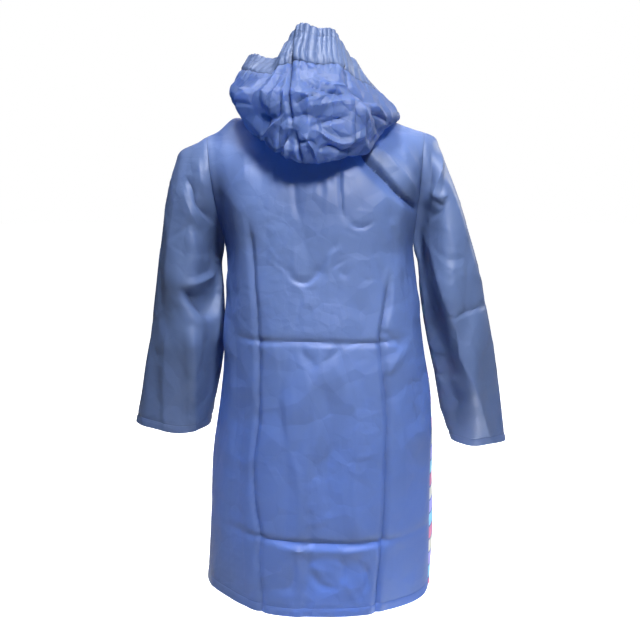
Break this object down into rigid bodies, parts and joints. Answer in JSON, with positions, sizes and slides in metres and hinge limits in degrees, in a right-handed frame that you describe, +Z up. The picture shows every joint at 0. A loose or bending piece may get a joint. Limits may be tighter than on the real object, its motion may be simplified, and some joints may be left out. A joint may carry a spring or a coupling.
{
  "type": "child's hooded raincoat, worn form",
  "caption": "Thin plastic-film raincoat with a gathered hood, long sleeves and a printed snap front, filled out as worn with nobody inside.",
  "frame": {"origin": "middle of the neck, level with the back of the neck seam, where the wearer's neck passes through the coat", "axes": "+Z up, the coat's front looks along -Y, the wearer's left arm is at +X"},
  "size_m": [0.603, 0.2928, 0.8596],
  "materials": {
    "coat_film": "thin soft plastic film, slightly translucent, satin, with packing creases",
    "printed_film": "the same film printed all over with rows of small colour blocks",
    "casing_film": "the same film in two layers, gathered on a narrow elastic",
    "snap_plastic": "moulded plastic, semi-gloss"
  },
  "bodies": {
    "root": {"back": "coat_film", "front_left": "printed_film", "front_right": "printed_film", "sleeve_left": "coat_film", "sleeve_right": "coat_film", "hood_left": "coat_film", "hood_centre": "coat_film", "hood_right": "coat_film", "hood_brim": "casing_film", "snap_1": "snap_plastic", "snap_2": "snap_plastic", "snap_3": "snap_plastic", "snap_4": "snap_plastic", "snap_5": "snap_plastic"}
  },
  "joints": []
}
